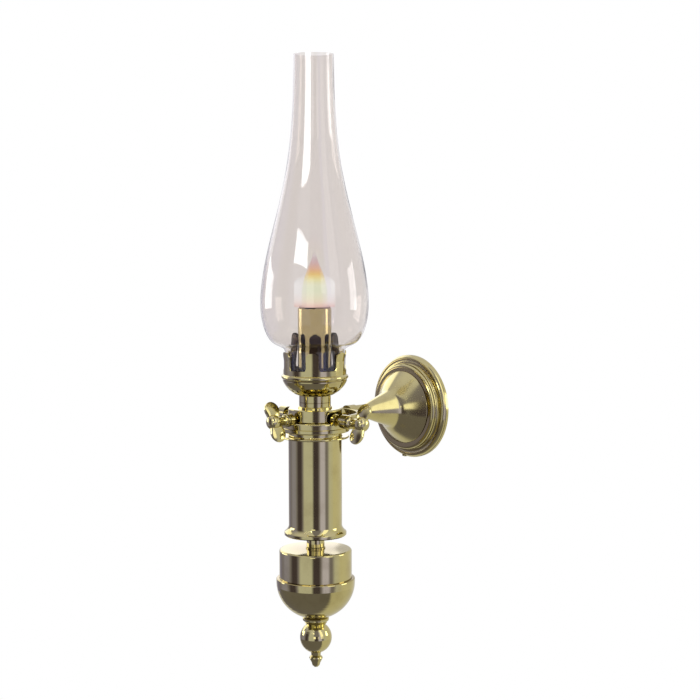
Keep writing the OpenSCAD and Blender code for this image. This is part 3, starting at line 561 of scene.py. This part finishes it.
def make_camera():
    """A camera that stands beside and a little above the lamp and keeps the pivots at their place."""
    data = bpy.data.cameras.new("camera")
    data.sensor_width = 36
    data.lens = FOCAL_PIXELS / PHOTO_SIZE * data.sensor_width
    camera = bpy.data.objects.new("camera", data)
    bpy.context.scene.collection.objects.link(camera)
    level = math.cos(CAMERA_PITCH)
    ahead = Vector((-math.sin(CAMERA_AZIMUTH) * level, math.cos(CAMERA_AZIMUTH) * level,
                    -math.sin(CAMERA_PITCH)))
    right = Vector((math.cos(CAMERA_AZIMUTH), math.sin(CAMERA_AZIMUTH), 0))
    right = Matrix.Rotation(-CAMERA_ROLL, 3, ahead) @ right
    up = right.cross(ahead)
    metres_per_pixel = CAMERA_DISTANCE / FOCAL_PIXELS
    across = (PIVOT_PIXEL[0] - PHOTO_SIZE / 2) * metres_per_pixel
    above = (PHOTO_SIZE / 2 - PIVOT_PIXEL[1]) * metres_per_pixel
    pivot = Vector((0, LAMP_Y, 0))
    axes = Matrix((right, up, -ahead)).transposed().to_4x4()
    camera.matrix_world = Matrix.Translation(
        pivot - ahead * CAMERA_DISTANCE - right * across - up * above) @ axes
    bpy.context.scene.camera = camera


make_camera()


# Studio

FLOOR_Z = -0.55
FLOOR_R = 1.2
# How far out the floor starts and ends to turn white
FADE_NEAR = 0.25
FADE_FAR = 0.75
# Depth from the wall over which the floor's look in reflections changes
WALL_BLEND = 0.06
# The height that the lamps face
AIM_Z = 0.08
# Direction from the lamp towards the camera, counted from +X
FRONT = CAMERA_AZIMUTH - math.pi / 2
DARK = (0.08, 0.065, 0.12, 1)
DIM = (0.26, 0.25, 0.46, 1)
LILAC = (0.36, 0.36, 0.78, 1)
BRIGHT_LILAC = (0.68, 0.68, 1.5, 1)
PALE = (0.68, 0.71, 0.97, 1)
WALL = (0.74, 0.73, 0.78, 1)
SKY = (0.80, 0.80, 1.10, 1)
GLARE = (1.7, 1.7, 1.9, 1)
GROUND = (0.19, 0.18, 0.26, 1)
GROUND_BY_WALL = (0.68, 0.67, 0.70, 1)
FLOOR_PALE = linear(240, 240, 238)
FLOOR_GREY = linear(230, 230, 230)
PLAIN_LIGHT = (0.75, 0.75, 0.75, 1)
# The flats round the lamp: degrees from the camera's direction and their shades
FLATS = (
    (-180, WALL), (-160, WALL), (-151, DIM), (-125, DIM), (-112, LILAC), (-94, LILAC), (-86, DIM),
    (-77, DARK), (-62, DARK), (-55, DIM), (-47, PALE), (-12, PALE), (-5, DARK), (12, DARK),
    (18, DIM), (25, BRIGHT_LILAC), (41, BRIGHT_LILAC), (48, DIM), (55, DIM), (65, PALE), (90, WALL),
    (180, WALL),
)
# Soft patches among the flats: degrees beside the camera, half width, degrees above the level,
# half height and shade
PATCHES = (
    (6, 24, 50, 34, DIM), (-154, 34, 20, 17, GLARE), (48, 13, 30, 30, GLARE),
    (21, 6, 11, 5, GLARE), (-8, 9, 6, 11, GLARE),
)


def flats(tree, x, y):
    """A direction's turn from the camera's, as a share, and the flat that stands there."""
    ahead = x * math.cos(FRONT) + y * math.sin(FRONT)
    aside = y * math.cos(FRONT) - x * math.sin(FRONT)
    turned = aside.math("ARCTAN2", ahead) / math.tau + 0.5
    stops = [(0.5 + degrees / 360, shade) for degrees, shade in FLATS]
    return turned, add_node(tree, "ShaderNodeValToRGB", {"stops": stops}, {"Fac": turned})


def ray_is(tree, *kinds):
    """1 for rays of these kinds, such as Camera or Glossy, and 0 for others."""
    path = tree.nodes.new("ShaderNodeLightPath")
    found = Wire(tree, path.outputs[f"Is {kinds[0]} Ray"])
    for kind in kinds[1:]:
        found = found.math("MAXIMUM", Wire(tree, path.outputs[f"Is {kind} Ray"]))
    return found


def patch(turned, rise, side, half_width, above, half_height):
    """1 inside a patch among the flats and 0 outside, with a soft edge."""
    across = ((turned - (0.5 + side / 360)) * 360).math("ABSOLUTE")
    up = ((rise - math.sin(math.radians(above))) / math.sin(math.radians(half_height))).math("ABSOLUTE")
    return (1 - across.smooth(half_width * 0.7, half_width)) * (1 - up.smooth(0.7, 1.0))


def make_world():
    """White to look at. In reflections, a studio of pale flats with darker gaps between them."""
    world = bpy.data.worlds.new("studio")
    bpy.context.scene.world = world
    world.use_nodes = True
    tree = world.node_tree
    tree.nodes.clear()
    x, y, z = split(tree, add_node(tree, "ShaderNodeTexCoord", out=0))
    turned, walls = flats(tree, x, y)
    reflected = mix(tree, z.smooth(0.35, 0.9), walls, SKY)
    for *spot, shade in PATCHES:
        reflected = mix(tree, patch(turned, z, *spot), reflected, shade)
    lit = mix(tree, ray_is(tree, "Glossy"), PLAIN_LIGHT, reflected)
    colour = mix(tree, ray_is(tree, "Camera", "Transmission"), lit, WHITE)
    background = add_node(tree, "ShaderNodeBackground", None, {"Color": colour, "Strength": 1.0})
    output = tree.nodes.new("ShaderNodeOutputWorld")
    tree.links.new(background.socket, output.inputs["Surface"])


make_world()


def make_floor():
    """A plain pale floor that keeps the lamp's soft shadow and runs out white at its edge."""
    material, tree, shader = new_material("floor")
    x, y = split(tree, place(tree))[:2]
    across = y - LAMP_Y
    away = (x * x + across * across).math("SQRT")
    reflected = mix(tree, y.smooth(-WALL_BLEND, WALL_BLEND), GROUND, GROUND_BY_WALL)
    grain = noise(tree, place(tree), 40, 2)
    pale = mix(tree, grain * 0.1, FLOOR_PALE, FLOOR_GREY)
    finish_with(tree, shader, Base_Color=pale, Roughness=0.8)
    shown = add_node(tree, "ShaderNodeEmission", None, {"Color": WHITE, "Strength": 1.0})
    dim = add_node(tree, "ShaderNodeEmission", None, {"Color": reflected, "Strength": 1.0})
    seen = ray_is(tree, "Camera", "Transmission") * away.smooth(FADE_NEAR, FADE_FAR)
    bare = Wire(tree, shader.outputs[0])
    first = add_node(tree, "ShaderNodeMixShader", None, {0: ray_is(tree, "Glossy"), 1: bare, 2: dim})
    last = add_node(tree, "ShaderNodeMixShader", None, {0: seen, 1: first, 2: shown})
    output = next(node for node in tree.nodes if node.type == "OUTPUT_MATERIAL")
    tree.links.new(last.socket, output.inputs["Surface"])
    data = bmesh.new()
    bmesh.ops.create_circle(data, cap_ends=True, segments=96, radius=FLOOR_R)
    bmesh.ops.translate(data, verts=data.verts, vec=(0, LAMP_Y, FLOOR_Z))
    mesh = bpy.data.meshes.new("floor")
    data.to_mesh(mesh)
    data.free()
    mesh.materials.append(material)
    floor = bpy.data.objects.new("floor", mesh)
    bpy.context.scene.collection.objects.link(floor)


make_floor()


def soft_box(name, side_degrees, rise_degrees, width, height, radiance, distance=1.3):
    """A soft lamp that faces the chimney from an angle beside the camera's and an angle above the level."""
    data = bpy.data.lights.new(name, "AREA")
    data.shape = "RECTANGLE"
    data.size = width
    data.size_y = height
    data.energy = radiance * math.pi * width * height
    lamp = bpy.data.objects.new(name, data)
    bpy.context.scene.collection.objects.link(lamp)
    side = FRONT + math.radians(side_degrees)
    rise = math.radians(rise_degrees)
    away = Vector((math.cos(side) * math.cos(rise), math.sin(side) * math.cos(rise), math.sin(rise)))
    lamp.location = Vector((0, LAMP_Y, AIM_Z)) + away * distance
    lamp.visible_camera = False
    lamp.rotation_euler = (-away).to_track_quat("-Z", "Y").to_euler()


soft_box("key", -31.5, 24.9, 0.31, 0.09, 7.4, distance=0.572)
soft_box("left_strip", -114.5, 2, 0.66, 0.36, 3.2)
soft_box("right_strip", 91.5, 4, 0.46, 0.50, 3.2)

bpy.context.scene.view_settings.view_transform = "Standard"
